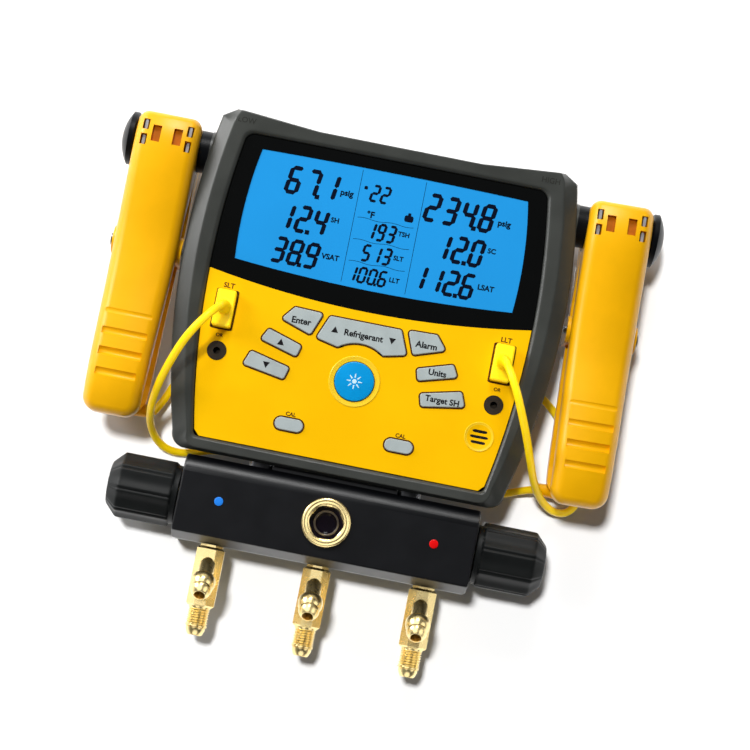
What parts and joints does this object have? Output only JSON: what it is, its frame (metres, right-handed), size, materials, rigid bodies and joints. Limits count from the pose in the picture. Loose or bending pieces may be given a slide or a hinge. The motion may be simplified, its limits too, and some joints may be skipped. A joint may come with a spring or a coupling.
{
  "type": "refrigerant manifold gauge",
  "caption": "Digital refrigerant manifold gauge with a blue display, keypad, black valve block, brass flare ports and spring pipe clamps on yellow cords, lying on its back.",
  "frame": {"origin": "on the surface that the gauge lies on, under the middle of its box", "axes": "+X to the gauge's right, +Y to its top, +Z out of its display"},
  "size_m": [0.2828, 0.2652, 0.0713],
  "materials": {
    "case_dark": "fine grained moulded plastic",
    "display_black": "glossy",
    "display_blue": "backlit liquid crystal",
    "panel_yellow": "smooth moulded plastic",
    "key_grey": "moulded rubber",
    "button_blue": "glossy",
    "clamp_yellow": "moulded plastic",
    "block_black": "black anodised, satin",
    "knob_black": "moulded plastic",
    "brass": "machined",
    "steel": "plated",
    "black_plastic": "moulded plastic",
    "foot_rubber": "moulded rubber",
    "cord_yellow": "extruded insulation",
    "clear_glass": "clear",
    "board_green": "solder mask",
    "cell_case": "printed sleeve"
  },
  "bodies": {
    "gauge": {"batteries": "cell_case", "battery_door": "case_dark", "case_screws": "steel", "clamp_spring_left": "steel", "clamp_spring_right": "steel", "coil_left": "cord_yellow", "coil_right": "cord_yellow", "display_surround": "display_black", "fitting_center": "brass", "fitting_left": "brass", "fitting_right": "brass", "front_bezel": "case_dark", "keypad_panel": "panel_yellow", "lcd_module": "display_blue", "lead_left": "cord_yellow", "lead_right": "cord_yellow", "main_board": "board_green", "manifold_block": "block_black", "neck_bracket": "steel", "packing_nut_left": "brass", "packing_nut_right": "brass", "pivot_pin_left": "steel", "pivot_pin_right": "steel", "plug_left": "cord_yellow", "plug_right": "cord_yellow", "post_left": "black_plastic", "post_right": "black_plastic", "pressure_sensors": "steel", "rear_arm_left": "clamp_yellow", "rear_arm_right": "clamp_yellow", "rear_case": "case_dark", "rear_jaw_left": "steel", "rear_jaw_right": "steel", "rubber_feet": "foot_rubber", "sensor_jacks": "black_plastic", "sight_glass": "clear_glass", "sight_ring": "brass", "speaker": "black_plastic", "tail_left": "cord_yellow", "tail_right": "cord_yellow"},
    "key_enter_body": {"key_enter": "key_grey"},
    "key_select_body": {"key_select": "key_grey"},
    "key_alarm_body": {"key_alarm": "key_grey"},
    "key_up_body": {"key_up": "key_grey"},
    "key_down_body": {"key_down": "key_grey"},
    "key_units_body": {"key_units": "key_grey"},
    "key_target_body": {"key_target": "key_grey"},
    "cal_button_left_body": {"cal_button_left": "key_grey"},
    "cal_button_right_body": {"cal_button_right": "key_grey"},
    "power_button_body": {"power_button": "button_blue"},
    "valve_left": {"knob_left": "knob_black", "valve_stem_left": "steel"},
    "clamp_front_left": {"front_arm_left": "clamp_yellow", "front_jaw_left": "steel"},
    "valve_right": {"knob_right": "knob_black", "valve_stem_right": "steel"},
    "clamp_front_right": {"front_arm_right": "clamp_yellow", "front_jaw_right": "steel"},
    "hook": {"hanging_hook": "steel"}
  },
  "joints": [
    {"name": "key_enter_press", "type": "slide", "parent": "gauge", "child": "key_enter_body", "axis": [0, 0, -1], "range_m": [0, 0.0008], "stiffness_N_per_m": 800, "springref_m": -0.0004},
    {"name": "key_select_press", "type": "slide", "parent": "gauge", "child": "key_select_body", "axis": [0, 0, -1], "range_m": [0, 0.0008], "stiffness_N_per_m": 800, "springref_m": -0.0004},
    {"name": "key_alarm_press", "type": "slide", "parent": "gauge", "child": "key_alarm_body", "axis": [0, 0, -1], "range_m": [0, 0.0008], "stiffness_N_per_m": 800, "springref_m": -0.0004},
    {"name": "key_up_press", "type": "slide", "parent": "gauge", "child": "key_up_body", "axis": [0, 0, -1], "range_m": [0, 0.0008], "stiffness_N_per_m": 800, "springref_m": -0.0004},
    {"name": "key_down_press", "type": "slide", "parent": "gauge", "child": "key_down_body", "axis": [0, 0, -1], "range_m": [0, 0.0008], "stiffness_N_per_m": 800, "springref_m": -0.0004},
    {"name": "key_units_press", "type": "slide", "parent": "gauge", "child": "key_units_body", "axis": [0, 0, -1], "range_m": [0, 0.0008], "stiffness_N_per_m": 800, "springref_m": -0.0004},
    {"name": "key_target_press", "type": "slide", "parent": "gauge", "child": "key_target_body", "axis": [0, 0, -1], "range_m": [0, 0.0008], "stiffness_N_per_m": 800, "springref_m": -0.0004},
    {"name": "cal_button_left_press", "type": "slide", "parent": "gauge", "child": "cal_button_left_body", "axis": [0, 0, -1], "range_m": [0, 0.0008], "stiffness_N_per_m": 800, "springref_m": -0.0004},
    {"name": "cal_button_right_press", "type": "slide", "parent": "gauge", "child": "cal_button_right_body", "axis": [0, 0, -1], "range_m": [0, 0.0008], "stiffness_N_per_m": 800, "springref_m": -0.0004},
    {"name": "power_button_press", "type": "slide", "parent": "gauge", "child": "power_button_body", "axis": [0, 0, -1], "range_m": [0, 0.0008], "stiffness_N_per_m": 800, "springref_m": -0.0004},
    {"name": "valve_left_turn", "type": "hinge", "parent": "gauge", "child": "valve_left", "pos_m": [-0.093, -0.0654, 0.022], "axis": [-1, 0, 0], "range_deg": [0, 1080]},
    {"name": "clamp_left_open", "type": "hinge", "parent": "gauge", "child": "clamp_front_left", "pos_m": [-0.117, 0.0562, 0.0275], "axis": [1, 0, 0], "range_deg": [0, 12], "stiffness_Nm_per_rad": 1.5, "springref_deg": -28.65},
    {"name": "valve_right_turn", "type": "hinge", "parent": "gauge", "child": "valve_right", "pos_m": [0.093, -0.0654, 0.022], "axis": [1, 0, 0], "range_deg": [0, 1080]},
    {"name": "clamp_right_open", "type": "hinge", "parent": "gauge", "child": "clamp_front_right", "pos_m": [0.11849, 0.05622, 0.0275], "axis": [0.9996, 0.0279, 0], "range_deg": [0, 12], "stiffness_Nm_per_rad": 1.5, "springref_deg": -28.65},
    {"name": "hook_swing", "type": "hinge", "parent": "gauge", "child": "hook", "pos_m": [0, 0.1146, 0.0115], "axis": [1, 0, 0], "range_deg": [0, 165]}
  ]
}
